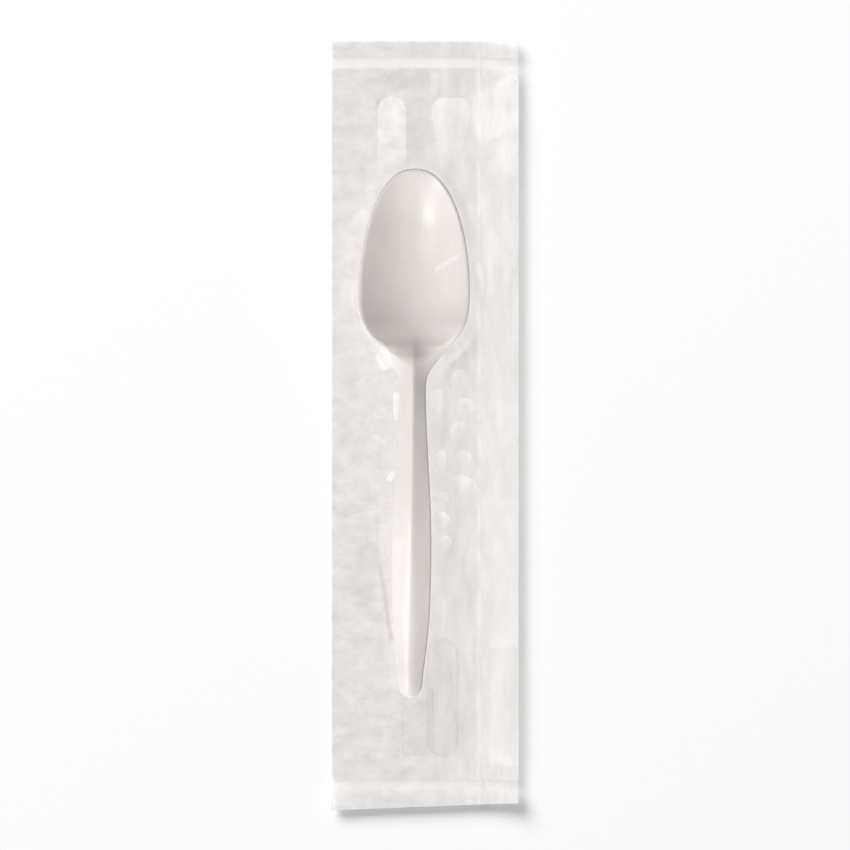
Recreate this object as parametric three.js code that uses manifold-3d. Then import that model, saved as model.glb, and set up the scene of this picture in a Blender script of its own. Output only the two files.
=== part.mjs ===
// A plastic teaspoon heat-sealed in a clear film sleeve, lying on its back panel.
//
// Millimetres. X runs across the pack, Y runs along it with the bowl towards +Y, and Z is up from
// the surface that the pack lies on. The origin is the middle of the footprint.

import * as THREE from 'three';
import { mergeVertices } from 'three/addons/utils/BufferGeometryUtils.js';
import Module from 'manifold-3d';

const wasm = await Module();
wasm.setup();

// Film sleeve: one web folded into a flat tube, lapped along its back and sealed at both ends.
const SLEEVE_WIDTH = 50.6;
const SLEEVE_LENGTH = 207.8;
const FILM = 0.1; // modelled wall
const LAYER_GAP = 0.3; // between layers that lie on each other
const SEAL_WIDTH = 2.7;
const TOP_SKIRT = 4.6; // loose film past the top seal
const BOTTOM_SKIRT = 5.6; // loose film past the bottom seal, on its longer side
const BOTTOM_SKEW = 2.0; // how far the bottom edge is cut out of square
const LAP_EDGE = 15.2; // free edge of the outer flap, right of the middle
const LAP_WIDTH = 10;
const FLAT_HALF_WIDTH = 18; // half of the back panel that lies on the surface
const FOLD_RADIUS = 0.4;
const FOLD_LIFT = 0.3; // how high the side folds float, as a share of the height between them

// Spoon: one moulding, measured from the tip of its bowl.
const SPOON_LENGTH = 142.6;
const SPOON_TIP = new THREE.Vector2(-2.7, 69.1);
const SPOON_TURN = THREE.MathUtils.degToRad(-0.54);
const SPOON_WALL = 1.1;
const CLEARANCE = 0.55; // from the spoon's top to the middle of the film over it
const RIM_WIDTH = 1;

const BOWL_HALF_WIDTH = 15.1;
const BOWL_WIDEST = 34; // from the tip
const BOWL_BACK = 26.5; // from the widest place to where the shoulders would meet
const BOWL_DEPTH = 5;
const BOWL_ROUNDING = 0.8; // of the bowl across it: 0 for a V
const NECK_START = 41; // the ridge rises out of the hollow from here
const NECK_END = 52;
const END_ROUNDING = 4.1;
const RIDGE_DROP = 2.3; // from the handle's ridge down to its edges
const NECK_DROP = 3.1; // the same at the neck, where the slopes are steeper
const RIDGE_ROUNDING = 0.4;
const END_RIDGE_ROUNDING = 1.8; // the rounding grows to this towards the handle's end

const HANDLE_HALF_WIDTHS = [[52, 3.7], [62, 3.55], [76, 4.2], [92, 5.15], [106, 5.4], [122, 5], [138.5, 3.3]];
const TOP_LINE = [
  [0, 6.7], [16, 6.55], [34, 6.75], [48, 8.05], [57, 8.7], [64, 8.85], [80, 8.8], [92, 8.5],
  [100, 8], [108, 7], [116, 5.8], [124, 4.8], [132, 4.3], [139, 4.1], [142.6, 3.3],
];
// The hollow's depth along the bowl, as a share of the deepest place.
const HOLLOW = [
  [1, 0], [5, 0.33], [9.5, 0.64], [13.8, 0.82], [18, 0.9], [24, 0.97], [31, 1], [36, 0.98],
  [40, 0.9], [43, 0.78], [46, 0.6], [49, 0.3], [51, 0.1], [53, 0.02], [55, 0],
];

const { lerp, smoothstep, clamp } = THREE.MathUtils;

/** A smooth curve through [position, value] knots, as a function of the position. */
function curveThrough(knots) {
  const slopes = knots.map((knot, i) => {
    const before = knots[Math.max(i - 1, 0)];
    const after = knots[Math.min(i + 1, knots.length - 1)];
    return (after[1] - before[1]) / (after[0] - before[0]);
  });
  return (position) => {
    const next = knots.findIndex((knot) => knot[0] >= position);
    const i = clamp(next < 0 ? knots.length - 2 : next - 1, 0, knots.length - 2);
    const span = knots[i + 1][0] - knots[i][0];
    const t = clamp((position - knots[i][0]) / span, 0, 1);
    const rise = knots[i + 1][1] - knots[i][1];
    const bend = (1 - t) * (slopes[i] * span - rise) - t * (slopes[i + 1] * span - rise);
    return knots[i][1] + rise * t + t * (1 - t) * bend;
  };
}

const handleHalfWidth = curveThrough(HANDLE_HALF_WIDTHS);
const topLine = curveThrough(TOP_LINE);
const hollowShare = curveThrough(HOLLOW);

/** Half of the spoon's width at a distance from the tip: an egg-shaped bowl run into the handle. */
function spoonHalfWidth(s) {
  if (s < BOWL_WIDEST) {
    const u = Math.min((BOWL_WIDEST - s) / BOWL_WIDEST, 1);
    return BOWL_HALF_WIDTH * (1 - u ** 2) ** (1 / 2.2);
  }
  const u = Math.min((s - BOWL_WIDEST) / BOWL_BACK, 1);
  const shoulders = BOWL_HALF_WIDTH * (1 - u ** 2.55) ** 2.3;
  const handle = handleHalfWidth(s) * smoothstep(s, BOWL_WIDEST, BOWL_WIDEST + 10);
  const joined = Math.hypot(shoulders, handle);
  const intoEnd = Math.max(s - (SPOON_LENGTH - END_ROUNDING), 0) / END_ROUNDING;
  return joined * Math.sqrt(Math.max(1 - intoEnd ** 2, 0));
}

/** Height of the spoon's upper face at a distance from the tip and a place across. */
function spoonTop(s, x) {
  const halfWidth = spoonHalfWidth(s);
  const inner = Math.max(halfWidth - Math.min(RIM_WIDTH, halfWidth / 4), 0.01);
  const across = Math.min(Math.abs(x) / inner, 1);
  const flat = Math.hypot(1, BOWL_ROUNDING);
  const section = (flat - Math.hypot(across, BOWL_ROUNDING)) / (flat - BOWL_ROUNDING);
  const hollow = BOWL_DEPTH * hollowShare(s) * section;
  const radius = lerp(RIDGE_ROUNDING, END_RIDGE_ROUNDING, smoothstep(s, 100, 140));
  const fromRidge = (Math.hypot(x, radius) - radius) / Math.max(halfWidth, handleHalfWidth(s));
  const drop = lerp(NECK_DROP, RIDGE_DROP, smoothstep(s, 54, 70));
  const roof = drop * Math.min(fromRidge, 1.15);
  return topLine(s) - hollow - roof * smoothstep(s, NECK_START, NECK_END);
}

/** Height of the underside: the upper face moved down by the wall, more where the face is steep. */
function spoonUnderside(s, x) {
  const step = 0.2;
  const slopeAcross = (spoonTop(s, x + step) - spoonTop(s, x - step)) / (2 * step);
  const slopeAlong = (spoonTop(s + step, x) - spoonTop(s - step, x)) / (2 * step);
  const stretch = Math.min(Math.hypot(1, slopeAcross, slopeAlong), 1.5);
  return spoonTop(s, x) - SPOON_WALL * stretch;
}

/**
 * A closed body from rings of points, all with the same even count, set one after another towards
 * -Y. A ring runs along one face of a wall and back along the other, anticlockwise seen from -Y,
 * and each end is closed by a strip between its two halves.
 */
function loft(rings) {
  const count = rings[0].length;
  const positions = rings.flat().flatMap((point) => point.toArray());
  const index = [];
  const quad = (a, b, c, d) => index.push(a, b, c, a, c, d);
  for (let r = 0; r < rings.length - 1; r += 1) {
    for (let i = 0; i < count; i += 1) {
      const j = (i + 1) % count;
      const corners = [r * count + i, r * count + j, (r + 1) * count + j, (r + 1) * count + i];
      // Both faces of the wall are split along the same diagonal, so they stay a wall apart.
      const start = i < count / 2 ? 0 : 1;
      quad(...corners.slice(start), ...corners.slice(0, start));
    }
  }
  const last = (rings.length - 1) * count;
  for (let i = 0; i < count / 2 - 1; i += 1) {
    const opposite = count - 1 - i;
    quad(opposite, opposite - 1, i + 1, i);
    quad(last + i, last + i + 1, last + opposite - 1, last + opposite);
  }
  const geometry = new THREE.BufferGeometry();
  geometry.setAttribute('position', new THREE.Float32BufferAttribute(positions, 3));
  geometry.setIndex(index);
  return geometry;
}

/** Distances from the tip of the bowl at which the spoon's sections stand. */
function spoonStations() {
  const steps = (count, place) => Array.from({ length: count }, (_, i) => place(i / count));
  const quarter = Math.PI / 2;
  const nose = steps(10, (t) => BOWL_WIDEST * (1 - Math.cos(quarter * lerp(0.04, 1, t))));
  const shoulders = steps(14, (t) => lerp(BOWL_WIDEST, 60, t));
  const handle = steps(14, (t) => lerp(60, SPOON_LENGTH - END_ROUNDING, t));
  const end = steps(6, (t) => SPOON_LENGTH - END_ROUNDING * (1 - Math.sin(quarter * t)));
  return [...nose, ...shoulders, ...handle, ...end, SPOON_LENGTH - 0.02];
}

/** The spoon, with its tip at the origin and its handle towards -Y. */
function spoonGeometry() {
  const rings = spoonStations().map((s) => {
    const halfWidth = spoonHalfWidth(s);
    const inner = halfWidth - Math.min(RIM_WIDTH, halfWidth / 4);
    const inside = Array.from({ length: 11 }, (_, i) => inner * Math.sin((Math.PI / 2) * (i / 5 - 1)));
    const places = [-halfWidth, ...inside, halfWidth];
    const top = places.map((x) => new THREE.Vector3(x, -s, spoonTop(s, x)));
    const underside = places.map((x) => new THREE.Vector3(x, -s, spoonUnderside(s, x)));
    return [...underside, ...top.reverse()];
  });
  return loft(rings);
}

// Heights of the film's middle surface where the sleeve lies flat.
const BACK = FILM / 2;
const INNER_FLAP = BACK + FILM + LAYER_GAP;
const FRONT = INNER_FLAP + FILM + LAYER_GAP;
const FOLD_X = SLEEVE_WIDTH / 2 - FILM / 2 - FOLD_RADIUS;
const TOP_SEAL = SLEEVE_LENGTH / 2 - TOP_SKIRT - SEAL_WIDTH; // the edge that faces the spoon
const BOTTOM_SEAL = -SLEEVE_LENGTH / 2 + BOTTOM_SKIRT + SEAL_WIDTH;

/** Height of the film where it lies on the spoon, and where it runs down to the two seals. */
function crestHeight(y) {
  const s = SPOON_TIP.y - y;
  const over = topLine(clamp(s, 0, SPOON_LENGTH)) + CLEARANCE;
  if (s < 0) {
    return lerp(over, FRONT, clamp((y - SPOON_TIP.y - 1) / (TOP_SEAL - SPOON_TIP.y - 1), 0, 1));
  }
  const spoonEnd = SPOON_TIP.y - SPOON_LENGTH - 1;
  return lerp(over, FRONT, clamp((spoonEnd - y) / (spoonEnd - BOTTOM_SEAL), 0, 1));
}

/** Half-width of the part of the film that the spoon holds up: the bowl's rim, or the ridge. */
function heldHalfWidth(y) {
  const s = SPOON_TIP.y - y;
  const onRim = Math.max(spoonHalfWidth(clamp(s, 0, SPOON_LENGTH)) + 0.5, 3);
  return lerp(onRim, 1.2, smoothstep(s, 50, 60));
}

/** The film's middle line across the sleeve, from the inner flap's edge round to the outer one's. */
function sleeveLine(y) {
  const crest = crestHeight(y);
  const half = heldHalfWidth(y);
  const middle = SPOON_TIP.x + (y - SPOON_TIP.y) * -Math.tan(SPOON_TURN);
  const foldHeight = lerp(BACK, crest, FOLD_LIFT) + FOLD_RADIUS * 0.6;
  const fold = Math.max(foldHeight, BACK + FOLD_RADIUS);
  const lift = fold - FOLD_RADIUS - BACK;
  const sag = 0.05 * (crest - fold);
  const line = [];
  const put = (x, z) => line.push(new THREE.Vector2(x, z));

  put(LAP_EDGE - LAP_WIDTH, INNER_FLAP);
  put(LAP_EDGE - LAP_WIDTH / 2, INNER_FLAP);
  put(LAP_EDGE + 0.4, INNER_FLAP);
  put(LAP_EDGE + 1.4, BACK);
  for (const t of [0, 0.4, 0.75]) {
    put(lerp(FLAT_HALF_WIDTH, FOLD_X, t), BACK + lift * t ** 1.6);
  }
  for (const turn of [-90, -45, 0, 45, 90]) {
    const angle = THREE.MathUtils.degToRad(turn);
    put(FOLD_X + FOLD_RADIUS * Math.cos(angle), fold + FOLD_RADIUS * Math.sin(angle));
  }
  for (const t of [0.33, 0.67]) {
    const z = lerp(fold + FOLD_RADIUS, crest, t) - sag * Math.sin(Math.PI * t);
    put(lerp(FOLD_X, middle + half, t), z);
  }
  for (const t of [1, 0.5, 0, -0.5, -1]) {
    put(middle + half * t, crest);
  }
  for (const t of [0.67, 0.33]) {
    const z = lerp(fold + FOLD_RADIUS, crest, t) - sag * Math.sin(Math.PI * t);
    put(lerp(-FOLD_X, middle - half, t), z);
  }
  for (const turn of [90, 135, 180, 225, 270]) {
    const angle = THREE.MathUtils.degToRad(turn);
    put(-FOLD_X + FOLD_RADIUS * Math.cos(angle), fold + FOLD_RADIUS * Math.sin(angle));
  }
  for (const t of [0.75, 0.4, 0]) {
    put(-lerp(FLAT_HALF_WIDTH, FOLD_X, t), BACK + lift * t ** 1.6);
  }
  put(0, BACK);
  put(LAP_EDGE, BACK);
  return line;
}

/** Both faces of a wall about a line, as one ring of [across, height] pairs. */
function thicken(line, wall) {
  const offset = (side) => line.map((point, i) => {
    const before = line[Math.max(i - 1, 0)];
    const after = line[Math.min(i + 1, line.length - 1)];
    const along = after.clone().sub(before).normalize();
    return new THREE.Vector2(point.x + side * along.y * wall, point.y - side * along.x * wall);
  });
  return [...offset(0.5), ...offset(-0.5).reverse()];
}

/** Places along the sleeve at which its sections stand. */
function sleeveStations() {
  const bottomEdge = -SLEEVE_LENGTH / 2 + BOTTOM_SKEW / 2;
  const topEdge = SLEEVE_LENGTH / 2;
  const fromTip = [-18, -8, -2, 0, 3, 7, 12, 18, 25, 32, 38, 43, 47, 50, 53, 56, 60, 68, 80, 96, 112, 128];
  const overSpoon = fromTip.map((s) => SPOON_TIP.y - s);
  const pastHandle = [-4, 1, 6, 14].map((s) => SPOON_TIP.y - SPOON_LENGTH - s);
  const top = [topEdge, TOP_SEAL + SEAL_WIDTH, TOP_SEAL];
  return [...top, ...overSpoon, ...pastHandle, BOTTOM_SEAL, BOTTOM_SEAL - SEAL_WIDTH, bottomEdge];
}

/** The open-ended, lapped tube of film. */
function sleeveGeometry() {
  const bottomEdge = -SLEEVE_LENGTH / 2 + BOTTOM_SKEW / 2;
  const sealOuter = BOTTOM_SEAL - SEAL_WIDTH;
  const rings = sleeveStations().map((y) => {
    const skew = clamp((sealOuter - y) / (sealOuter - bottomEdge), 0, 1) * (BOTTOM_SKEW / SLEEVE_WIDTH);
    return thicken(sleeveLine(y), FILM).map((p) => new THREE.Vector3(p.x, y + skew * p.x, p.y));
  });
  return loft(rings);
}

/** A heat seal: a flat bar that fills the sleeve from its front layer to its back one. */
function sealGeometry(y) {
  const radius = (FRONT - BACK) / 2;
  const outline = new THREE.Shape();
  outline.moveTo(-FOLD_X, -radius);
  outline.lineTo(FOLD_X, -radius);
  outline.absarc(FOLD_X, 0, radius, -Math.PI / 2, Math.PI / 2);
  outline.lineTo(-FOLD_X, radius);
  outline.absarc(-FOLD_X, 0, radius, Math.PI / 2, (3 * Math.PI) / 2);
  const settings = { depth: SEAL_WIDTH, bevelEnabled: false, curveSegments: 4 };
  const bar = new THREE.ExtrudeGeometry(outline, settings);
  bar.rotateX(Math.PI / 2);
  bar.translate(0, y + SEAL_WIDTH, BACK + radius);
  return bar;
}

/** A closed geometry as a solid that can be joined. */
function solid(geometry) {
  const bare = geometry.clone();
  bare.deleteAttribute('normal');
  bare.deleteAttribute('uv');
  const merged = mergeVertices(bare, 1e-4);
  const vertProperties = new Float32Array(merged.attributes.position.array);
  const triVerts = new Uint32Array(merged.index.array);
  return new wasm.Manifold(new wasm.Mesh({ numProp: 3, vertProperties, triVerts }));
}

/** A joined solid as a geometry again. */
function geometryOf(joined) {
  const mesh = joined.getMesh();
  const geometry = new THREE.BufferGeometry();
  geometry.setAttribute('position', new THREE.BufferAttribute(mesh.vertProperties, 3));
  geometry.setIndex(new THREE.BufferAttribute(mesh.triVerts, 1));
  geometry.computeVertexNormals();
  return geometry;
}

function makeSpoon() {
  const geometry = spoonGeometry();
  geometry.computeVertexNormals();
  const material = new THREE.MeshStandardMaterial({ color: 0xf1ece8, roughness: 0.35, metalness: 0 });
  const spoon = new THREE.Mesh(geometry, material);
  spoon.name = 'spoon';
  spoon.position.set(SPOON_TIP.x, SPOON_TIP.y, 0);
  spoon.rotation.z = SPOON_TURN;
  return spoon;
}

function makeSleeve() {
  const tube = solid(sleeveGeometry());
  const topSeal = solid(sealGeometry(TOP_SEAL));
  const bottomSeal = solid(sealGeometry(BOTTOM_SEAL - SEAL_WIDTH));
  const geometry = geometryOf(tube.add(topSeal).add(bottomSeal));
  const material = new THREE.MeshStandardMaterial({
    color: 0xf4f3f1,
    roughness: 0.25,
    metalness: 0,
    transparent: true,
    opacity: 0.3,
  });
  const sleeve = new THREE.Mesh(geometry, material);
  sleeve.name = 'film_sleeve';
  return sleeve;
}

const pack = new THREE.Group();
pack.add(makeSpoon(), makeSleeve());

export default pack;
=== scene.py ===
"""A wrapped plastic teaspoon: the moulded spoon, the film sleeve it is sealed in, and a studio.

The pack lies on its back panel. X runs across it, Y along it with the bowl towards +Y, Z is up.
"""

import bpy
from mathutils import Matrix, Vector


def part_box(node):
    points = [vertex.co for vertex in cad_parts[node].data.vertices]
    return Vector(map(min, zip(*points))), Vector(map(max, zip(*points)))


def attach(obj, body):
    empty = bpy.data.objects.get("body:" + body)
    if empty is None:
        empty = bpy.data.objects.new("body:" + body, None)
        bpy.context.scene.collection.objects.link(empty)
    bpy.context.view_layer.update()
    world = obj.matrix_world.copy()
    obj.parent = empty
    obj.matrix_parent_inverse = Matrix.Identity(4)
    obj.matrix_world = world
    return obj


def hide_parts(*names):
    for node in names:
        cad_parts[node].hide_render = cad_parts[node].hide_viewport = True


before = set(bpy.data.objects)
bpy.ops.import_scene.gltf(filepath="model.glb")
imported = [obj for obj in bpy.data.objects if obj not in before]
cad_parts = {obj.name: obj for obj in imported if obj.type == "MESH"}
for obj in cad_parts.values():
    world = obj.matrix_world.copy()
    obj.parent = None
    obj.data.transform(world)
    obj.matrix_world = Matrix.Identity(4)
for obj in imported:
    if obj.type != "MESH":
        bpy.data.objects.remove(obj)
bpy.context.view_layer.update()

import math

import bpy
import numpy as np
from bpy.props import FloatProperty, FloatVectorProperty, PointerProperty
from bpy.types import Operator, Panel, PropertyGroup

bl_info = {
    "name": "Wrapped teaspoon",
    "version": (1, 0, 0),
    "blender": (4, 5, 0),
    "location": "3D View > Sidebar > Teaspoon",
    "description": "Builds a moulded teaspoon, the clear film sleeve round it and a plain studio",
    "category": "Add Mesh",
}

MM = 0.001
SPOON_LOW, SPOON_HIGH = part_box("spoon")
SLEEVE_LOW, SLEEVE_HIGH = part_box("film_sleeve")


# ---------------------------------------------------------------------------- settings


def length(name, default, description):
    """A size property in metres, shown in the scene's length unit."""
    return FloatProperty(name=name, description=description, default=default, unit="LENGTH", precision=5)


def colour(name, default, description):
    """A linear colour property."""
    return FloatVectorProperty(
        name=name, description=description, default=default, size=3, subtype="COLOR", min=0, max=1
    )


def share(name, default, description, low=0, high=1):
    """A share or a factor, with its lowest and highest values."""
    return FloatProperty(
        name=name, description=description, default=default, min=low, max=high, subtype="FACTOR"
    )


class SpoonSettings(PropertyGroup):
    """Sizes and finish of the moulded spoon. Distances along it count from the tip of the bowl."""

    total: length("Length", SPOON_HIGH.y - SPOON_LOW.y, "From the tip of the bowl to the handle's end")
    bowl_half: length("Bowl half-width", (SPOON_HIGH.x - SPOON_LOW.x) / 2, "Half of the widest place")
    bowl_widest: length("Widest place", 34 * MM, "Distance from the tip to the widest place")
    bowl_back: length("Shoulders", 26.5 * MM, "From the widest place to where the shoulders would meet")
    bowl_depth: length("Bowl depth", 5 * MM, "From the rim down to the deepest place")
    bowl_taper: length("Bowl taper", 3.6 * MM, "How much wider the rim grows towards the neck")
    cross_round: share("Cross rounding", 0.8, "Roundness of the bowl across it: 0 for a V", 0.05, 5)
    neck_start: length("Neck", 41 * MM, "Distance from the tip to where the ridge begins to rise")
    neck_end: length("Neck's end", 52 * MM, "Distance from the tip to where the ridge is whole")
    rim: length("Rim", 1 * MM, "Width of the flat strip round the bowl")
    wall: length("Wall", 1.1 * MM, "Thickness of the moulding")
    edge: length("Edge rounding", 0.42 * MM, "Reach of the rounding along every edge")
    ridge_drop: length("Ridge", 2.3 * MM, "From the handle's ridge down to its edges")
    neck_drop: length("Ridge at the neck", 3.1 * MM, "The same at the neck, where the slopes are steeper")
    ridge_round: length("Ridge rounding", 0.4 * MM, "Radius of the rounding along the ridge")
    end_ridge_round: length("End ridge rounding", 1.8 * MM, "Radius that it grows to at the handle's end")
    end_round: length("End rounding", 4.1 * MM, "Length of the handle's rounded end")
    turn: FloatProperty(
        name="Turn",
        description="Turn of the spoon in the sleeve",
        default=math.radians(-0.54),
        subtype="ANGLE",
    )
    plastic: colour("Plastic", (0.87, 0.825, 0.8), "Colour of the moulded plastic")
    roughness: share("Roughness", 0.45, "Roughness of the plastic")


class SleeveSettings(PropertyGroup):
    """Sizes and finish of the film sleeve."""

    width: length("Width", SLEEVE_HIGH.x - SLEEVE_LOW.x, "From fold to fold")
    total: length("Length", SLEEVE_HIGH.y - SLEEVE_LOW.y, "From edge to edge, on the longer side")
    top_skirt: length("Top skirt", 4.6 * MM, "Loose film past the top seal")
    bottom_skirt: length("Bottom skirt", 5.6 * MM, "Loose film past the bottom seal")
    seal: length("Seal width", 2.7 * MM, "Width of each heat seal")
    skew: length("Skew", 2 * MM, "How far the bottom edge is cut out of square")
    lap_edge: length("Lap edge", 15.2 * MM, "Free edge of the outer flap, right of the middle")
    lap_width: length("Lap width", 10 * MM, "Width of the overlap along the back")
    fold_lift: length("Fold height", 3.4 * MM, "Height at which the right side fold floats")
    left_fold_lift: length("Left fold height", 0.25 * MM, "Height at which the left side fold floats")
    sag: length("Sag", 0.05 * MM, "How far the film sags between the rows, at each row")
    fold_radius: length("Fold radius", 0.16 * MM, "Radius of the side folds")
    clearance: length("Clearance", 0.12 * MM, "From the spoon's face to the film on it")
    wrinkle: length("Wrinkles", 0.12 * MM, "Height of the fine wrinkles")
    pitch: length("Pitch", 0.45 * MM, "Distance between the rows of the film's mesh")
    film: colour("Film", (0.2, 0.13, 0.09), "Colour of the film where it is greyest")
    haze: share("Haze", 0.2, "Share of light that the front layer holds back")
    back_haze: share("Back haze", 0.4, "The same, for the back and its folds")
    # the milky colour, also the colour of the marks' painted highlights
    milk: colour("Milk", (0.97, 0.955, 0.945), "Colour of the film where it is milky")
    roughness: share("Roughness", 0.22, "Roughness of the film")


class StageSettings(PropertyGroup):
    """The floor, the camera and the lights."""

    floor_size: length("Floor", 4, "Side of the square floor")
    floor_colour: colour("Floor colour", (0.93, 0.93, 0.93), "Colour of the floor")
    view_width: length("View", 229.5 * MM, "Width of the view at the floor")
    camera_height: length("Camera height", 2, "Height of the camera above the floor")
    sensor: FloatProperty(
        name="Sensor", description="Width of the camera's sensor", default=36, min=1, unit="CAMERA"
    )
    ambient: share("Ambient", 0.22, "Strength of the light from all round", 0, 10)
    key: share("Key", 0.43, "Brightness that the key light gives a level white surface", 0, 10)
    film_light: share("Film light", 0.75, "The same, for the light on the film alone", 0, 10)
    spark: share("Spark", 0.24, "The same, for the small light that gives highlights", 0, 10)
    floor_light: share("Floor light", 0.93, "The same, for the light on the floor alone", 0, 10)


# ---------------------------------------------------------------------------- shader maths


class Wire:
    """A number that a node gives, for use in expressions: each operator adds its Math node."""

    def __init__(self, graph, socket):
        self.graph = graph
        self.socket = socket

    def maths(self, operation, *values, clamp=False):
        """The result of a Math node on this number and the given ones, in that order."""
        settings = {"operation": operation, "use_clamp": clamp}
        return self.graph.node("ShaderNodeMath", settings, dict(enumerate((self, *values)))).out()

    def __add__(self, other):
        return self.maths("ADD", other)

    __radd__ = __add__

    def __sub__(self, other):
        return self.maths("SUBTRACT", other)

    def __rsub__(self, other):
        return (self * -1) + other

    def __mul__(self, other):
        return self.maths("MULTIPLY", other)

    __rmul__ = __mul__

    def clamped(self):
        """This number kept between 0 and 1."""
        return self.maths("ADD", 0, clamp=True)

    def ramp(self, low, high):
        """0 below low, 1 above high and smooth between them."""
        settings = {"interpolation_type": "SMOOTHSTEP"}
        return self.graph.node("ShaderNodeMapRange", settings, {0: self, 1: low, 2: high}).out()


class Node:
    """A node in a graph, with its outputs as wires."""

    def __init__(self, graph, made):
        self.graph = graph
        self.made = made

    def out(self, name=0):
        """The output with this name or place."""
        return Wire(self.graph, self.made.outputs[name])


class Graph:
    """The node tree of a new material."""

    def __init__(self, name):
        self.material = bpy.data.materials.new(name)
        self.material.use_nodes = True
        self.tree = self.material.node_tree
        self.tree.nodes.clear()

    def node(self, kind, settings=None, values=None):
        """Adds a node: its settings first, then the values or wires of its sockets."""
        made = self.tree.nodes.new(kind)
        for name, value in (settings or {}).items():
            setattr(made, name, value)
        for name, value in (values or {}).items():
            if isinstance(value, Wire):
                self.tree.links.new(value.socket, made.inputs[name])
            else:
                made.inputs[name].default_value = value
        return Node(self, made)

    def mixed(self, factor, first, second):
        """The first colour where the factor is 0, and the second where it is 1."""
        made = self.node("ShaderNodeMix", {"data_type": "RGBA"}, {0: factor}).made
        ends = [socket for socket in made.inputs if socket.type == "RGBA"]
        for socket, end in zip(ends, (first, second)):
            socket.default_value = (*end, 1)
        return Wire(self, next(socket for socket in made.outputs if socket.type == "RGBA"))

    def place(self, scale=(1, 1, 1), turn=0):
        """Object coordinates, scaled and turned about Z."""
        where = self.node("ShaderNodeTexCoord").out("Object")
        values = {"Vector": where, "Scale": scale, "Rotation": (0, 0, turn)}
        return self.node("ShaderNodeMapping", None, values).out()

    def noise(self, where, size, detail=3, roughness=0.55):
        """Cloudy noise about 0.5, with patches about as large as size."""
        values = {"Vector": where, "Scale": 1 / size, "Detail": detail, "Roughness": roughness}
        return self.node("ShaderNodeTexNoise", None, values).out()

    def bump(self, height, distance, strength=1):
        """A normal from a height between 0 and 1."""
        values = {"Height": height, "Distance": distance, "Strength": strength}
        return self.node("ShaderNodeBump", None, values).out()

    def finish(self, shader):
        """Links a shader to the output and returns the material."""
        self.node("ShaderNodeOutputMaterial", None, {"Surface": shader})
        return self.material


# ---------------------------------------------------------------------------- meshes


def mesh_object(name, points, faces, material):
    """A smooth-shaded mesh object at the origin from arrays of points and of four-cornered faces.

    A corner that repeats the one before it, round the face, is left out.
    """
    kept = faces != np.roll(faces, 1, axis=1)
    sides = kept.sum(axis=1)
    mesh = bpy.data.meshes.new(name)
    mesh.vertices.add(len(points))
    mesh.vertices.foreach_set("co", points.ravel())
    mesh.loops.add(int(sides.sum()))
    mesh.loops.foreach_set("vertex_index", faces[kept])
    mesh.polygons.add(len(faces))
    mesh.polygons.foreach_set("loop_start", np.cumsum(sides) - sides)
    mesh.polygons.foreach_set("use_smooth", np.ones(len(faces), bool))
    mesh.materials.append(material)
    mesh.update(calc_edges=True)
    made = bpy.data.objects.new(name, mesh)
    bpy.context.scene.collection.objects.link(made)
    return made


def grid_faces(rows, columns, start=0):
    """Quads of a grid whose points are stored row by row from a first index."""
    index = start + np.arange(rows * columns).reshape(rows, columns)
    corners = (index[:-1, :-1], index[:-1, 1:], index[1:, 1:], index[1:, :-1])
    return np.stack([corner.ravel() for corner in corners], axis=1)


def smooth(low, high, value):
    """Smoothstep: 3t^2 - 2t^3 of the value's place t between low and high."""
    t = np.clip((value - low) / (high - low), 0, 1)
    return t * t * (3 - 2 * t)


def through(knots, at):
    """Cubic Hermite curve through (position, value) knots, with each slope from its neighbours."""
    place, value = np.array(knots, float).T
    last = len(place) - 1
    before, after = np.maximum(np.arange(last + 1) - 1, 0), np.minimum(np.arange(last + 1) + 1, last)
    slope = (value[after] - value[before]) / (place[after] - place[before])
    i = np.clip(np.searchsorted(place, at) - 1, 0, last - 1)
    span = place[i + 1] - place[i]
    t = np.clip((at - place[i]) / span, 0, 1)
    rise = value[i + 1] - value[i]
    bend = (1 - t) * (slope[i] * span - rise) - t * (slope[i + 1] * span - rise)
    return value[i] + rise * t + t * (1 - t) * bend


# ---------------------------------------------------------------------------- spoon

# Curves along the spoon, by the distance from the tip in millimetres.
HANDLE_HALF_WIDTHS = np.array(
    [(52, 3.7), (62, 3.55), (76, 4.2), (92, 5.15), (106, 5.4), (122, 5), (138.5, 3.3)]
) * MM
TOP_LINE = np.array(
    [
        *((0, 6.7), (16, 6.55), (34, 6.75), (48, 8.05), (57, 8.7), (64, 8.85), (80, 8.8), (92, 8.5)),
        *((100, 8), (108, 7), (116, 5.8), (124, 4.8), (132, 4.3), (139, 4.1), (142.6, 3.3)),
    ]
) * MM
# The hollow's depth along the bowl, as a share of the deepest place.
HOLLOW = np.array(
    [
        *((1, 0), (5, 0.33), (9.5, 0.64), (13.8, 0.82), (18, 0.9), (24, 0.97), (31, 1), (36, 0.98)),
        *((40, 0.9), (43, 0.78), (46, 0.6), (49, 0.3), (51, 0.1), (53, 0.02), (55, 0)),
    ]
) * (MM, 1)
# Stretches along the spoon, from the tip.
SHOULDERS_TO_HANDLE = 10 * MM  # the handle's width comes in over this length behind the widest place
RIM_WIDENS = (44 * MM, 53 * MM)
SLOPES_EASE = (54 * MM, 70 * MM)
RIDGE_SOFTENS = (100 * MM, 140 * MM)
# Powers of the outline: the blunt nose, and how the shoulders bend and fall.
NOSE_POWER, SHOULDER_BEND, SHOULDER_FALL = 2.2, 2.55, 2.3
FARTHEST_SLOPE = 1.15  # the ridge's slopes end at this many half-widths from it


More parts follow.
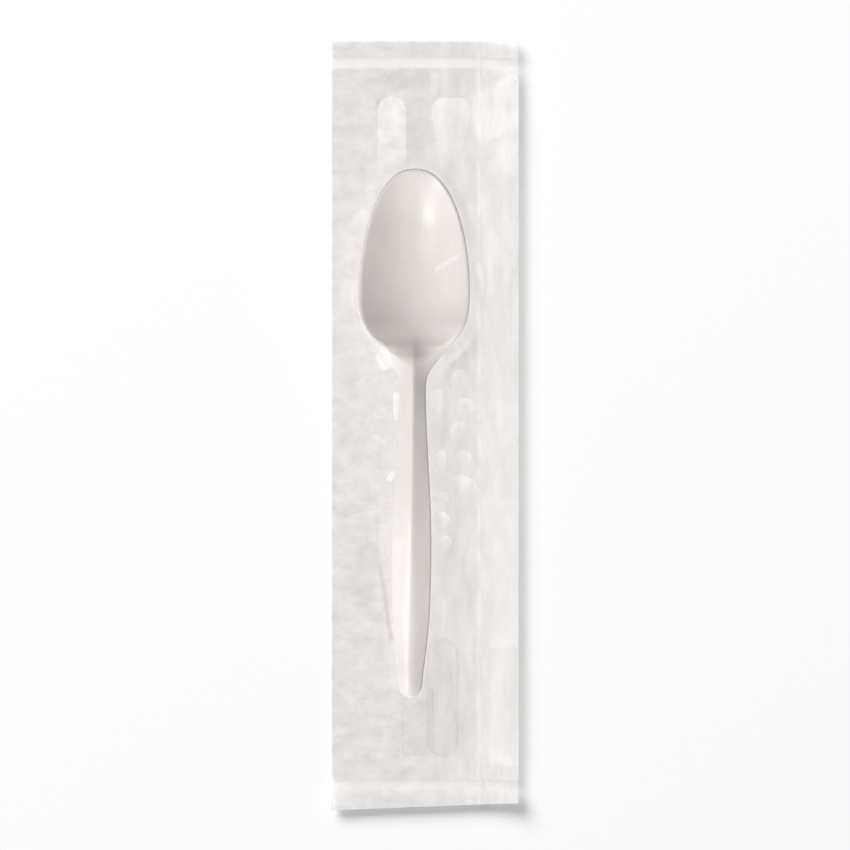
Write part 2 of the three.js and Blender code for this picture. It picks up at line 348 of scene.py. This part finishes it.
def spoon_half_width(spoon, s):
    """Half-width at a distance s from the tip.

    Towards the tip it is a blunt ellipse of the place a ahead of the widest place,
    (1 - a^2)^(1/2.2) of the bowl's half-width. Towards the neck it is the root of the sum of the
    squares of the shoulders, (1 - b^2.55)^2.3 of the bowl's half-width at the place b behind the
    widest place, and of the handle. The handle's end closes as a quarter ellipse.
    """
    ahead = np.clip((spoon.bowl_widest - s) / spoon.bowl_widest, 0, 1)
    nose = spoon.bowl_half * (1 - ahead**2) ** (1 / NOSE_POWER)
    behind = np.clip((s - spoon.bowl_widest) / spoon.bowl_back, 0, 1)
    shoulders = spoon.bowl_half * (1 - behind**SHOULDER_BEND) ** SHOULDER_FALL
    handle_share = smooth(spoon.bowl_widest, spoon.bowl_widest + SHOULDERS_TO_HANDLE, s)
    joined = np.hypot(shoulders, through(HANDLE_HALF_WIDTHS, s) * handle_share)
    into_end = np.clip((s - spoon.total + spoon.end_round) / spoon.end_round, 0, 1)
    return np.where(s < spoon.bowl_widest, nose, joined * np.sqrt(1 - into_end**2))


def spoon_face(spoon, s, x):
    """Height of the upper face: the top line, less the bowl's hollow and the ridge's slopes.

    The hollow is the depth times its profile along the bowl, times a hyperbola of the place a
    across it, (sqrt(1 + w^2) - sqrt(a^2 + w^2)) / (sqrt(1 + w^2) - w) for a roundness w. The
    slopes drop in proportion to the distance from a rounded ridge, sqrt(x^2 + r^2) - r for a
    radius r, over the half-width. They come in along the neck, and are steeper there.
    """
    half = spoon_half_width(spoon, s)
    rim = np.minimum(spoon.rim + spoon.bowl_taper * smooth(*RIM_WIDENS, s), half * 0.75)
    inner = np.maximum(half - np.minimum(rim, np.maximum(half / 4, rim - spoon.rim)), 0.01 * MM)
    across = np.clip(np.abs(x) / inner, 0, 1)
    w = spoon.cross_round
    section = (math.hypot(1, w) - np.hypot(across, w)) / (math.hypot(1, w) - w)
    hollow = spoon.bowl_depth * through(HOLLOW, s) * section
    radius = spoon.ridge_round + (spoon.end_ridge_round - spoon.ridge_round) * smooth(*RIDGE_SOFTENS, s)
    from_ridge = np.hypot(x, radius) - radius
    reach = np.maximum(half, through(HANDLE_HALF_WIDTHS, s))
    drop = spoon.neck_drop + (spoon.ridge_drop - spoon.neck_drop) * smooth(*SLOPES_EASE, s)
    roof = drop * np.minimum(from_ridge / reach, FARTHEST_SLOPE)
    return through(TOP_LINE, s) - hollow - roof * smooth(spoon.neck_start, spoon.neck_end, s)


def spoon_axis_x(spoon, s):
    """Where the spoon's middle line is across the pack, at a distance from the tip."""
    widest_x = (SPOON_LOW.x + SPOON_HIGH.x) / 2
    return widest_x + (s - spoon.bowl_widest) * math.tan(spoon.turn)


def spoon_points(spoon, rows, columns):
    """Points of the upper and lower face, each a grid of rows along by columns across.

    Both faces stand half a wall from a middle surface, and close on it along the outline: within
    the edge rounding the half-wall shrinks as a quarter ellipse of the distance to the outline.
    """
    quarter = np.linspace(0, np.pi / 2, rows // 4)
    nose = spoon.bowl_widest * (1 - np.cos(quarter))
    end = spoon.total - spoon.end_round * (1 - np.sin(quarter))
    middle = np.linspace(spoon.bowl_widest, spoon.total - spoon.end_round, rows - 2 * len(quarter) + 2)
    s = np.concatenate([nose, middle[1:-1], end])[:, None]
    q = np.sin(np.linspace(-np.pi / 2, np.pi / 2, columns))[None, :]
    half = spoon_half_width(spoon, s)
    x = half * q
    step = 0.1 * MM
    flare = (spoon_half_width(spoon, s + step) - spoon_half_width(spoon, s - step)) / (2 * step)
    depth_in = (half - np.abs(x)) / np.hypot(1, flare)
    rounding = np.sqrt(1 - np.clip(1 - depth_in / spoon.edge, 0, 1) ** 2)
    across = (spoon_face(spoon, s, x + step) - spoon_face(spoon, s, x - step)) / (2 * step)
    along = (spoon_face(spoon, s + step, x) - spoon_face(spoon, s - step, x)) / (2 * step)
    half_wall = spoon.wall / 2 * np.minimum(np.sqrt(1 + across**2 + along**2), 1.5)
    middle_z = spoon_face(spoon, s, x) - half_wall
    place_x = spoon_axis_x(spoon, s) + x
    place_y = SPOON_HIGH.y - s + 0 * x
    faces = [middle_z + half_wall * rounding, middle_z - half_wall * rounding]
    return [np.stack([place_x, place_y, z], axis=-1) for z in faces]


def spoon_material(spoon):
    """Semi-gloss moulded plastic: faint flow marks in its tone, and a fine moulded grain."""
    graph = Graph("moulded white plastic")
    clouds = graph.noise(graph.place((1, 0.35, 1)), 7 * MM, 2)
    grain = graph.noise(graph.place(), 0.35 * MM, 4, 0.65)
    darker = [part * 0.965 for part in spoon.plastic]
    lighter = [min(part * 1.02, 1) for part in spoon.plastic]
    tone = graph.mixed(clouds.ramp(0.3, 0.7), darker, lighter)
    shine = spoon.roughness + (clouds - 0.5) * 0.12 + (grain - 0.5) * 0.08
    shader = graph.node(
        "ShaderNodeBsdfPrincipled",
        None,
        {
            "Base Color": tone,
            "Roughness": shine,
            "IOR": 1.5,
            "Coat Weight": 0.5,
            "Coat Roughness": 0.2,
            "Subsurface Weight": 0.15,
            "Subsurface Scale": 1.5 * MM,
            "Normal": graph.bump(grain, 0.02 * MM, 0.5),
        },
    )
    return graph.finish(shader.out())


class TEASPOON_OT_spoon(Operator):
    """Build the moulded spoon"""

    bl_idname = "teaspoon.spoon"
    bl_label = "Spoon"

    def execute(self, context):
        spoon = context.scene.teaspoon_spoon
        rows, columns = 300, 65
        upper, lower = spoon_points(spoon, rows, columns)
        count = rows * columns
        points = np.concatenate([upper.reshape(-1, 3), lower.reshape(-1, 3)])
        faces = np.concatenate([grid_faces(rows, columns), grid_faces(rows, columns, count)[:, ::-1]])
        shared = np.arange(2 * count)
        grid = np.arange(count).reshape(rows, columns)
        shared[count + grid[:, 0]] = grid[:, 0]
        shared[count + grid[:, -1]] = grid[:, -1]
        shared[grid[0]] = shared[count + grid[0]] = 0
        shared[grid[-1]] = shared[count + grid[-1]] = grid[-1, 0]
        made = mesh_object("moulded_spoon", *welded(points, faces[:, ::-1], shared), spoon_material(spoon))
        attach(made, "root")
        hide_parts("spoon")
        return {"FINISHED"}


def welded(points, faces, shared):
    """Points and faces after each point has become the one that it shares its place with."""
    used, faces = np.unique(shared[faces], return_inverse=True)
    return points[used], faces.reshape(-1, 4)


# ---------------------------------------------------------------------------- sleeve


class Mark:
    """A place where the film is creased, pinched or clings: a box with rounded corners.

    Sizes are in millimetres. clear is how milky the mark is, or grey below 0: the milk is partly
    the film's own tone where it clings and is pinched, and partly painted highlights and glints on
    the film's facets and wrinkles, and the thin grey marks are painted shade along creases. rim is
    the greyness of a thin line round it, painted shade along the mark's edge. lift is its height
    over the film round it, turn its turn in degrees, soft half the width of its soft edge, taper
    how much wider it grows towards its upper end, and fade how much of it is lost towards its
    lower end.
    """

    def __init__(
        self, x, y, wide, tall, clear=0.0, lift=0.0, corner=None, turn=0, soft=0.5, taper=0.0, rim=0.0,
        fade=0.0,
    ):
        self.x, self.y, self.wide, self.tall = x, y, wide / 2, tall / 2
        self.clear, self.lift, self.turn, self.soft = clear, lift, turn, soft
        self.taper, self.rim, self.fade = taper, rim, fade
        self.corner = min(self.wide, self.tall) if corner is None else corner

    def spread(self, x, y):
        """How much of the mark covers each place, and the place along it from -1 to 1.

        The cover is 1 inside, 0 outside and smooth over the mark's soft edge.
        """
        turn = math.radians(self.turn)
        dx, dy = x - self.x, y - self.y
        across = dx * math.cos(turn) + dy * math.sin(turn)
        along = dy * math.cos(turn) - dx * math.sin(turn)
        wide = self.wide * (1 + self.taper * along / self.tall)
        far_x = np.abs(across) - (wide - self.corner)
        far_y = np.abs(along) - (self.tall - self.corner)
        outside = np.hypot(np.maximum(far_x, 0), np.maximum(far_y, 0)) - self.corner
        distance = outside + np.minimum(np.maximum(far_x, far_y), 0)
        return 1 - smooth(-self.soft, self.soft, distance), np.clip(along / self.tall, -1, 1)

    def milk_highlight_and_rim_shade(self, x, y):
        """How much milkier the film is at each place, partly as a painted highlight: inside the mark, less a
        thin grey rim of painted shade.
        """
        cover, along = self.spread(x, y)
        body = 1 - self.fade * (1 - along) / 2
        return self.clear * cover * body - self.rim * 4 * cover * (1 - cover) * body


# Marks on the front panel, in millimetres from the pack's middle.
MARKS = [
    # two pinched tabs between the bowl and the top seal, and the clear patch beside them
    Mark(-8.9, 78.3, 8, 21, clear=1, lift=0.15, soft=0.25, rim=0.3, fade=0.55),
    Mark(7, 80.3, 9.4, 16.4, clear=1, lift=0.15, soft=0.25, taper=0.3, rim=0.3, fade=0.6),
    Mark(4.5, 70.5, 4, 12, clear=0.35, soft=1, taper=0.6, turn=8),
    Mark(2.6, 92.2, 2.2, 6.2, clear=0.5, soft=0.6),
    Mark(21.3, 86, 20, 13, clear=0.75, corner=1, soft=0.8, turn=27),
    Mark(20, 76, 13, 18, clear=0.7, corner=3, soft=1.6, fade=0.5),
    Mark(14, 74, 3.4, 20, clear=0.4, soft=0.9, turn=-3, fade=0.4),
    Mark(16.4, 65, 3.4, 13, clear=0.55, soft=1, turn=-8, fade=0.6),
    # thin grey lines of painted shade along the creases beside the tabs
    Mark(12.2, 85.6, 0.6, 5.5, clear=-1.2, lift=-0.1, soft=0.28),
    Mark(-12.3, 85.4, 0.6, 4.6, clear=-1.2, lift=-0.1, soft=0.28, turn=12),
    Mark(-3, 76, 6, 20, clear=-0.15, soft=1),
    Mark(-5, 93, 18, 5, clear=-0.2, soft=1.5, turn=8),
    Mark(-14.6, 70, 1.6, 16, clear=0.3, soft=0.5, turn=4),
    # facets round the bowl: milky patches that are painted highlights, with rims of painted shade
    Mark(-17, 55.2, 4.4, 5.2, clear=0.6, lift=0.1, corner=0.6, soft=0.25, turn=24, rim=0.25, fade=0.5),
    Mark(12.9, 56, 4.4, 6.6, clear=0.5, lift=0.1, corner=0.6, soft=0.25, turn=-14, rim=0.25, fade=0.4),
    Mark(14.3, 39, 3.2, 10.6, clear=0.8, lift=0.12, soft=0.28, turn=3, rim=0.4, fade=0.3),
    Mark(-19.4, 34, 0.7, 8, clear=0.7, soft=0.3),
    Mark(-20, 46, 3, 10, clear=0.25, soft=0.5, turn=-10, fade=0.7),
    # round the neck: bright facets and glints that are painted highlights, some with rims of painted shade
    Mark(-11, 17.4, 3.6, 5.4, clear=1.1, lift=0.15, corner=1.2, soft=0.3, turn=25, rim=0.15),
    Mark(7.4, 20, 3.4, 5.8, clear=0.9, lift=0.12, corner=0.8, soft=0.3, turn=-25, fade=0.5),
    Mark(-16.3, 9.5, 3.4, 6.4, clear=0.5, lift=0.1, corner=0.8, soft=0.25, turn=30, rim=0.4, fade=0.9),
    Mark(-7.8, 5, 1.8, 8, clear=1, lift=0.1, soft=0.28, rim=0.2),
    Mark(4, 6, 2.2, 8, clear=0.8, lift=0.1, soft=0.35, turn=8, fade=0.5),
    # a chain of scallops right of the handle: crescents of painted highlight with rims of painted shade
    Mark(9.5, 12, 5, 6, clear=0.7, lift=0.1, soft=0.25, turn=15, rim=0.4, fade=0.9),
    Mark(11.2, 4.6, 5.8, 5.2, clear=0.9, lift=0.12, soft=0.25, turn=-10, rim=0.45, fade=0.9),
    Mark(9.3, -1.4, 5.2, 5, clear=0.7, lift=0.12, soft=0.25, turn=20, rim=0.4, fade=0.9),
    Mark(4.6, -10, 2.8, 7, clear=1, lift=0.12, soft=0.25, turn=5, rim=0.35, fade=0.7),
    Mark(10.2, -9.3, 5.8, 5.4, clear=0.8, lift=0.12, soft=0.25, turn=-30, rim=0.45, fade=0.9),
    Mark(10.8, -15.8, 7, 4, clear=1, lift=0.12, soft=0.25, turn=-20, rim=0.4, fade=0.7),
    Mark(4.6, -20, 4.6, 4.4, clear=0.7, lift=0.1, soft=0.25, rim=0.4, fade=0.9),
    Mark(4.4, -25.8, 5, 5.2, clear=1.1, lift=0.12, soft=0.25, turn=-35, rim=0.45, fade=0.8),
    Mark(5.4, -32, 4.4, 4.6, clear=1, lift=0.1, soft=0.25, turn=-30, rim=0.45, fade=0.8),
    Mark(13, -24, 6, 14, clear=0.35, soft=0.8, turn=-12, fade=0.7),
    # left of the handle: a bright glint and facets of painted highlight, and a crease drawn as a line of
    # painted shade
    Mark(-9.2, -14, 1.6, 2.8, clear=1.4, lift=0.1, corner=0.4, soft=0.25, turn=-25, rim=0.2),
    Mark(-13.5, -4, 3, 3.6, clear=0.5, lift=0.1, corner=0.8, soft=0.25, turn=-40, rim=0.45, fade=0.9),
    Mark(-10.8, -26.6, 4.2, 19.6, clear=0.12, lift=0.08, soft=0.25, rim=0.35, fade=0.6),
    Mark(-10.6, -48, 0.8, 20, clear=-1.2, lift=-0.1, soft=0.35, turn=8.5),
    Mark(-16, -40, 6, 18, clear=-0.2, soft=1.5, turn=-5),
    # the long finger and the tab under the handle's end, each outlined with a rim of painted shade
    Mark(6.3, -52, 3.6, 11.4, clear=0.4, lift=0.08, soft=0.4, rim=0.3, fade=0.5),
    Mark(4.8, -73.6, 8.1, 31, clear=-0.16, lift=0.1, soft=0.4, corner=3.6, rim=0.45),
    Mark(-2, -80, 8, 18, clear=-0.12, lift=0.06, corner=1, soft=0.4, rim=0.25),
    Mark(-3, -91, 7, 3, clear=0.3, soft=1),
    Mark(20.4, -40, 9.6, 40, clear=0.25, corner=1.5, soft=0.5),
    # a light streak across the bowl: a painted highlight along a wrinkle of the film
    Mark(5.7, 43.6, 1, 7.5, clear=0.9, lift=0.04, soft=0.6, turn=-58, fade=0.4),
]


def waves(x, y, size, stretch, count, seed):
    """Smooth random relief of about unit height: a sum of cosines with random headings and phases.

    Wavelengths lie about size, and are longer along Y by stretch.
    """
    draw = np.random.default_rng(seed)
    heading = draw.uniform(0, 2 * np.pi, count)
    rate = 2 * np.pi / (size * draw.uniform(0.6, 1.8, count))
    phase = draw.uniform(0, 2 * np.pi, count)
    total = np.zeros(np.broadcast(x, y).shape)
    for turn, pace, start in zip(heading, rate, phase):
        total += np.cos(pace * (x * math.cos(turn) + y * math.sin(turn) / stretch) + start)
    return total / math.sqrt(count / 2)


def settle(start, floor, sag, steps=260, push=1.88):
    """A stretched film over a floor, with its border held.

    Each step moves every second point towards a place lower by sag than the mean of its four
    neighbours, and past it by push, and back up to the floor where it lies lower. Then it does
    the same for the others.
    """
    height = start.copy()
    rows, columns = np.indices(height[1:-1, 1:-1].shape)
    for _ in range(steps):
        for parity in (0, 1):
            mean = (height[:-2, 1:-1] + height[2:, 1:-1] + height[1:-1, :-2] + height[1:-1, 2:]) / 4
            inner = height[1:-1, 1:-1]
            moved = np.maximum(inner + push * (mean - sag - inner), floor[1:-1, 1:-1])
            height[1:-1, 1:-1] = np.where((rows + columns) % 2 == parity, moved, inner)
    return height


BACK_GREY = 0.22  # how grey the back and its folds are, before the shader's clouds
BACK_PITCH = 0.9 * MM  # distance between the columns of the back's mesh
FLAP_GAP = 0.14 * MM  # height of the inner flap over the back panel, under the outer flap
SEAL_SOFT = 0.25 * MM  # half the width of a seal's soft edge


class Sleeve:
    """The film's shape: the rows along it, the columns across the web, and their heights."""

    def __init__(self, sleeve, spoon):
        self.sleeve, self.spoon = sleeve, spoon
        self.top = SLEEVE_HIGH.y
        self.bottom = SLEEVE_LOW.y + sleeve.skew / 2
        self.seals = (
            SLEEVE_LOW.y + sleeve.bottom_skirt,
            SLEEVE_LOW.y + sleeve.bottom_skirt + sleeve.seal,
            self.top - sleeve.top_skirt - sleeve.seal,
            self.top - sleeve.top_skirt,
        )
        count = round((self.top - self.bottom) / sleeve.pitch)
        self.y = np.linspace(self.top, self.bottom, count)[:, None]
        self.fold_x = SLEEVE_HIGH.x - sleeve.fold_radius
        self.front_x = np.linspace(self.fold_x, -self.fold_x, round(2 * self.fold_x / sleeve.pitch))[None, :]

    def sealed(self):
        """1 in the heat seals and 0 away from them, down the rows."""
        low, low_in, high_in, high = self.seals
        from_low, to_low, from_high, to_high = (
            smooth(edge - SEAL_SOFT, edge + SEAL_SOFT, self.y) for edge in (low, low_in, high_in, high)
        )
        return from_low - to_low + from_high - to_high

    def base(self):
        """Height of the back panel's middle, down the rows: it curls up a little towards both ends."""
        y = self.y / MM
        return (0.06 + 0.3 * smooth(90, 104, y) + 3 * smooth(-91, -104, y)) * MM

    def fold_height(self, x):
        """Height of the side folds' middle, down the rows, on the side of the pack that x lies on."""
        y = self.y / MM
        raised = 1 - 0.25 * smooth(84, 103, y) - 0.4 * smooth(-84, -103, y)
        lift = np.where(np.asarray(x) > 0, self.sleeve.fold_lift, self.sleeve.left_fold_lift)
        return self.base() + self.radius() + lift * raised

    def radius(self):
        """Radius of the side folds, down the rows: pressed flat in the seals."""
        return self.sleeve.fold_radius * (1 - 0.75 * self.sealed())

    def back_height(self, x):
        """Height of the back panel across the pack, rising to the side folds."""
        flat = 14 * MM
        part = np.clip((np.abs(x) - flat) / (self.fold_x - flat), 0, 1)
        lift = self.fold_height(x) - self.radius() - self.base()
        return self.base() + lift * part**1.7

    def front_height(self):
        """Height of the front panel: a film stretched over the spoon from the folds and seals."""
        x, y = self.front_x, self.y
        s = SPOON_HIGH.y - y
        across = x - spoon_axis_x(self.spoon, s)
        on_spoon = (np.abs(across) < spoon_half_width(self.spoon, np.clip(s, 0, self.spoon.total))) & (
            (s > 0) & (s < self.spoon.total)
        )
        spoon_z = spoon_face(self.spoon, np.clip(s, 0, self.spoon.total), across) + self.sleeve.clearance
        floor = self.back_height(x) + 2 * self.radius()
        floor = np.where(on_spoon, np.maximum(spoon_z, floor), floor)
        edge = self.fold_height(x) + self.radius()
        low, low_in, high_in, high = self.seals
        free = ((y < high_in) & (y > low_in)) & (np.abs(x) < self.fold_x * 0.9999)
        start = np.where(free, np.maximum(floor, edge), floor)
        start = np.where(np.abs(x) >= self.fold_x * 0.9999, edge, start)
        rows = np.flatnonzero(free.any(axis=1))
        band = slice(rows[0] - 1, rows[-1] + 2)
        height = start.copy()
        height[band] = settle(start[band], floor[band], self.sleeve.sag)
        relief = self.relief()
        return np.where(free, np.maximum(height + relief, floor), height + 0.3 * relief * (1 - self.sealed()))

    def relief(self):
        """Wrinkles added to the front panel: clouds on the left, streaks on the right, and the marks."""
        x, y = self.front_x / MM, self.y / MM
        right = smooth(-6, 10, x)
        clouds = waves(x, y, 6, 1, 40, 3) * (1 - right) + waves(x, y, 5, 4, 40, 4) * right
        marks = sum(mark.lift * mark.spread(x, y)[0] for mark in MARKS if mark.lift)
        border = smooth(0, 3, SLEEVE_HIGH.x / MM - np.abs(x))
        return (self.sleeve.wrinkle * clouds * 0.5 + marks * MM) * border

    def plain_haze(self):
        """Share of light that the back holds back, down the rows.

        It is less in the seals, and more in the curled skirt.
        """
        skirt = smooth(self.seals[1], self.seals[0], self.y)
        return self.sleeve.back_haze * (1 - 0.3 * self.sealed()) * (1 + 0.6 * skirt)

    def front_haze(self):
        """Share of light that the front panel holds back: little where it is stretched over the spoon."""
        s = SPOON_HIGH.y - self.y
        across = np.abs(self.front_x - spoon_axis_x(self.spoon, s))
        half = spoon_half_width(self.spoon, np.clip(s, 0, self.spoon.total))
        stretched = smooth(0.5 * MM, -0.3 * MM, across - half) * ((s > 0) & (s < self.spoon.total))
        # the front holds back more where the marks are milky, so that their painted highlights show
        milky = 1 + 0.9 * np.maximum(self.marked(), 0)
        return self.sleeve.haze * milky * (1 - 0.25 * stretched) * (1 - 0.8 * self.sealed())

    def marked(self):
        """How milky the marks make each place of the front panel, or, below 0, how grey: partly painted
        highlight and painted shade.
        """
        x, y = self.front_x / MM, self.y / MM
        left = np.ones(np.broadcast(x, y).shape)
        for mark in MARKS:
            left = left * (1 - mark.milk_highlight_and_rim_shade(x, y))
        return np.clip(1 - left, -1, 1)

    def front_grey(self):
        """How grey the front panel is, from 0 for milky white to 1, before the shader's clouds.
        It carries painted shade that greys the left of the pack, and the marks' painted highlights and shade.
        """
        marked = self.marked()
        # painted shade: the film is greyer on the left of the pack and lighter towards the right
        grey = 0.49 - 0.18 * smooth(-2, 18, self.front_x / MM)
        grey = grey * np.where(marked > 0, 1 - marked, 1 - 2 * marked)
        return np.clip(grey, 0, 1) * (1 - 0.6 * self.sealed())

    def web(self):
        """Points, haze and grey of the whole web, from the inner flap's edge round to the outer one's."""
        sleeve, y = self.sleeve, self.y
        inner_edge = sleeve.lap_edge - sleeve.lap_width
        inner_count = round((self.fold_x - inner_edge) / BACK_PITCH)
        outer_count = round((self.fold_x + sleeve.lap_edge) / BACK_PITCH)
        inner_x = np.linspace(inner_edge, self.fold_x, inner_count)[None, :]
        outer_x = np.linspace(-self.fold_x, sleeve.lap_edge, outer_count)[None, :]
        over = 1 - smooth(sleeve.lap_edge - 1.1 * MM, sleeve.lap_edge - 0.2 * MM, inner_x)
        raised = 1 - smooth(sleeve.lap_edge + 0.2 * MM, sleeve.lap_edge + 1.6 * MM, inner_x)
        inner_z = self.back_height(inner_x) + FLAP_GAP * raised * (1 - 0.5 * self.sealed())
        turns = np.radians([-60, -30, 0, 30, 60])[None, :]
        radius = self.radius()
        fold_x = self.fold_x + radius * np.cos(turns)
        right_z, left_z = (self.fold_height(side) + radius * np.sin(turns) for side in (1, -1))
        ones = np.ones_like(y)
        plain = self.plain_haze()
        parts = [
            (inner_x * ones, inner_z, plain * (1 - 0.94 * over) * ones, BACK_GREY),
            (fold_x, right_z, plain * np.ones_like(fold_x), BACK_GREY),
            (self.front_x * ones, self.front_height(), self.front_haze(), self.front_grey()),
            (-fold_x[:, ::-1], left_z[:, ::-1], plain * np.ones_like(fold_x), BACK_GREY),
            (outer_x * ones, self.back_height(outer_x), plain * np.ones_like(outer_x), BACK_GREY),
        ]
        parts = [(x, z, haze, grey * np.ones_like(x)) for x, z, haze, grey in parts]
        x, z, haze, grey = (np.concatenate(column, axis=1) for column in zip(*parts))
        skew = sleeve.skew / sleeve.width * smooth(self.seals[0], self.bottom, y)
        return np.stack([x, y + skew * x, z], axis=-1), {"haze": haze, "grey": grey}


def film_material(sleeve):
    """Thin clear film with a milky haze: cloudy on the left of the pack, streaked on the right."""
    graph = Graph("clear milky film")
    haze, grey = (
        graph.node("ShaderNodeAttribute", {"attribute_name": name}).out("Fac") for name in ("haze", "grey")
    )
    side = graph.node("ShaderNodeSeparateXYZ", None, {0: graph.place()}).out("X")
    clouds = graph.noise(graph.place((1, 1.3, 1)), 4.6 * MM, 8, 0.72)
    streaks = graph.noise(graph.place((1, 0.25, 1)), 3.2 * MM, 8, 0.72)
    right = side.ramp(-6 * MM, 10 * MM)
    mottle = clouds + (streaks - clouds) * right
    crinkle = graph.noise(graph.place(), 1.6 * MM, 3, 0.6)
    # the grey attribute brings in the painted shade across the pack and the marks' painted highlights and
    # shade
    tint = graph.mixed((grey + (mottle - 0.5) * 0.68).clamped(), sleeve.milk, sleeve.film)
    shader = graph.node(
        "ShaderNodeBsdfPrincipled",
        None,
        {
            "Base Color": tint,
            "Roughness": sleeve.roughness + (mottle - 0.5) * 0.15,
            "IOR": 1.45,
            "Alpha": haze,
            "Normal": graph.bump(crinkle, 0.06 * MM, 0.4),
        },
    )
    return graph.finish(shader.out())


class TEASPOON_OT_sleeve(Operator):
    """Build the film sleeve"""

    bl_idname = "teaspoon.sleeve"
    bl_label = "Film sleeve"

    def execute(self, context):
        sleeve = context.scene.teaspoon_sleeve
        shape = Sleeve(sleeve, context.scene.teaspoon_spoon)
        points, tones = shape.web()
        rows, columns = tones["haze"].shape
        faces = grid_faces(rows, columns)[:, ::-1]
        made = mesh_object("film_wrapper", points.reshape(-1, 3), faces, film_material(sleeve))
        for name, tone in tones.items():
            made.data.attributes.new(name, "FLOAT", "POINT").data.foreach_set("value", tone.ravel())
        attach(made, "root")
        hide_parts("film_sleeve")
        return {"FINISHED"}


# ---------------------------------------------------------------------------- stage


def area_light(name, brightness, tilt, heading, size, distance, lights=(), shadow_of=()):
    """A round light at a tilt from the vertical and a heading anticlockwise from +X, in degrees.

    Its power P gives a level white surface the brightness P cos(tilt) / (pi distance)^2. The light
    lights only the given pieces and is blocked only by the given pieces, if any are given.
    """
    lean, turn = math.radians(tilt), math.radians(heading)
    data = bpy.data.lights.new(name, "AREA")
    data.shape = "DISK"
    data.size = size
    data.energy = brightness * (math.pi * distance) ** 2 / math.cos(lean)
    made = bpy.data.objects.new(name, data)
    across = distance * math.sin(lean)
    made.location = (across * math.cos(turn), across * math.sin(turn), distance * math.cos(lean))
    made.rotation_euler = (0, lean, turn)
    bpy.context.scene.collection.objects.link(made)
    for use, pieces in (("receiver_collection", lights), ("blocker_collection", shadow_of)):
        if pieces:
            linked = bpy.data.collections.new(f"{name} {use}")
            for piece in pieces:
                linked.objects.link(piece)
            setattr(made.light_linking, use, linked)
    return made


class TEASPOON_OT_stage(Operator):
    """Build the floor, the lights and the camera"""

    bl_idname = "teaspoon.stage"
    bl_label = "Stage"

    def execute(self, context):
        stage = context.scene.teaspoon_stage
        half = stage.floor_size / 2
        corners = np.array([(-half, -half, 0), (half, -half, 0), (half, half, 0), (-half, half, 0)])
        graph = Graph("pale floor")
        shader = graph.node(
            "ShaderNodeBsdfPrincipled",
            None,
            {"Base Color": (*stage.floor_colour, 1), "Roughness": 0.9, "Specular IOR Level": 0.1},
        )
        floor = mesh_object("floor", corners, np.array([[0, 1, 2, 3]]), graph.finish(shader.out()))
        pack = [bpy.data.objects.get(name) for name in ("moulded_spoon", "film_wrapper")]
        if None in pack:
            raise RuntimeError("the spoon and the film sleeve have to be built before the stage")
        spoon, film = pack
        key = area_light("key_light", stage.key, tilt=50, heading=242, size=0.5, distance=1.2, lights=[spoon])
        spark = area_light(
            "spark_light", stage.spark, tilt=36.5, heading=210, size=0.38, distance=1, lights=pack
        )
        film_light = area_light(
            "film_light", stage.film_light, tilt=20, heading=160, size=0.6, distance=1.2, lights=[film]
        )
        key.visible_glossy = film_light.visible_glossy = False
        for soft in (key, spark, film_light):
            soft.data.use_shadow = False
        area_light(
            "floor_light",
            stage.floor_light,
            tilt=50,
            heading=126,
            size=6,
            distance=9,
            lights=[floor],
            shadow_of=[film],
        )
        world = bpy.data.worlds.new("soft white")
        world.use_nodes = True
        background = world.node_tree.nodes["Background"]
        background.inputs["Color"].default_value = (1, 1, 1, 1)
        background.inputs["Strength"].default_value = stage.ambient
        context.scene.world = world
        camera = bpy.data.cameras.new("camera")
        camera.sensor_width = stage.sensor
        camera.lens = stage.sensor * stage.camera_height / stage.view_width
        camera.clip_end = 2 * stage.camera_height
        made = bpy.data.objects.new("camera", camera)
        made.location = (0, 0, stage.camera_height)
        context.scene.collection.objects.link(made)
        context.scene.camera = made
        context.scene.view_settings.view_transform = "Standard"
        return {"FINISHED"}


# ---------------------------------------------------------------------------- add-on


class TEASPOON_PT_panel(Panel):
    """The buttons that build each piece"""

    bl_idname = "TEASPOON_PT_panel"
    bl_label = "Wrapped teaspoon"
    bl_space_type = "VIEW_3D"
    bl_region_type = "UI"
    bl_category = "Teaspoon"

    def draw(self, context):
        for made in OPERATORS:
            self.layout.operator(made.bl_idname)


SETTINGS = {
    "teaspoon_spoon": SpoonSettings,
    "teaspoon_sleeve": SleeveSettings,
    "teaspoon_stage": StageSettings,
}
OPERATORS = (TEASPOON_OT_spoon, TEASPOON_OT_sleeve, TEASPOON_OT_stage)


def register():
    """Registers the classes and puts their settings on the scene."""
    for made in (*SETTINGS.values(), *OPERATORS, TEASPOON_PT_panel):
        bpy.utils.register_class(made)
    for name, made in SETTINGS.items():
        setattr(bpy.types.Scene, name, PointerProperty(type=made))


def unregister():
    """Takes the settings off the scene and the classes out again."""
    for name in SETTINGS:
        delattr(bpy.types.Scene, name)
    for made in reversed((*SETTINGS.values(), *OPERATORS, TEASPOON_PT_panel)):
        bpy.utils.unregister_class(made)


def main():
    """Builds the stage and every piece."""
    register()
    bpy.ops.teaspoon.spoon()
    bpy.ops.teaspoon.sleeve()
    bpy.ops.teaspoon.stage()


if __name__ == "__main__":
    main()
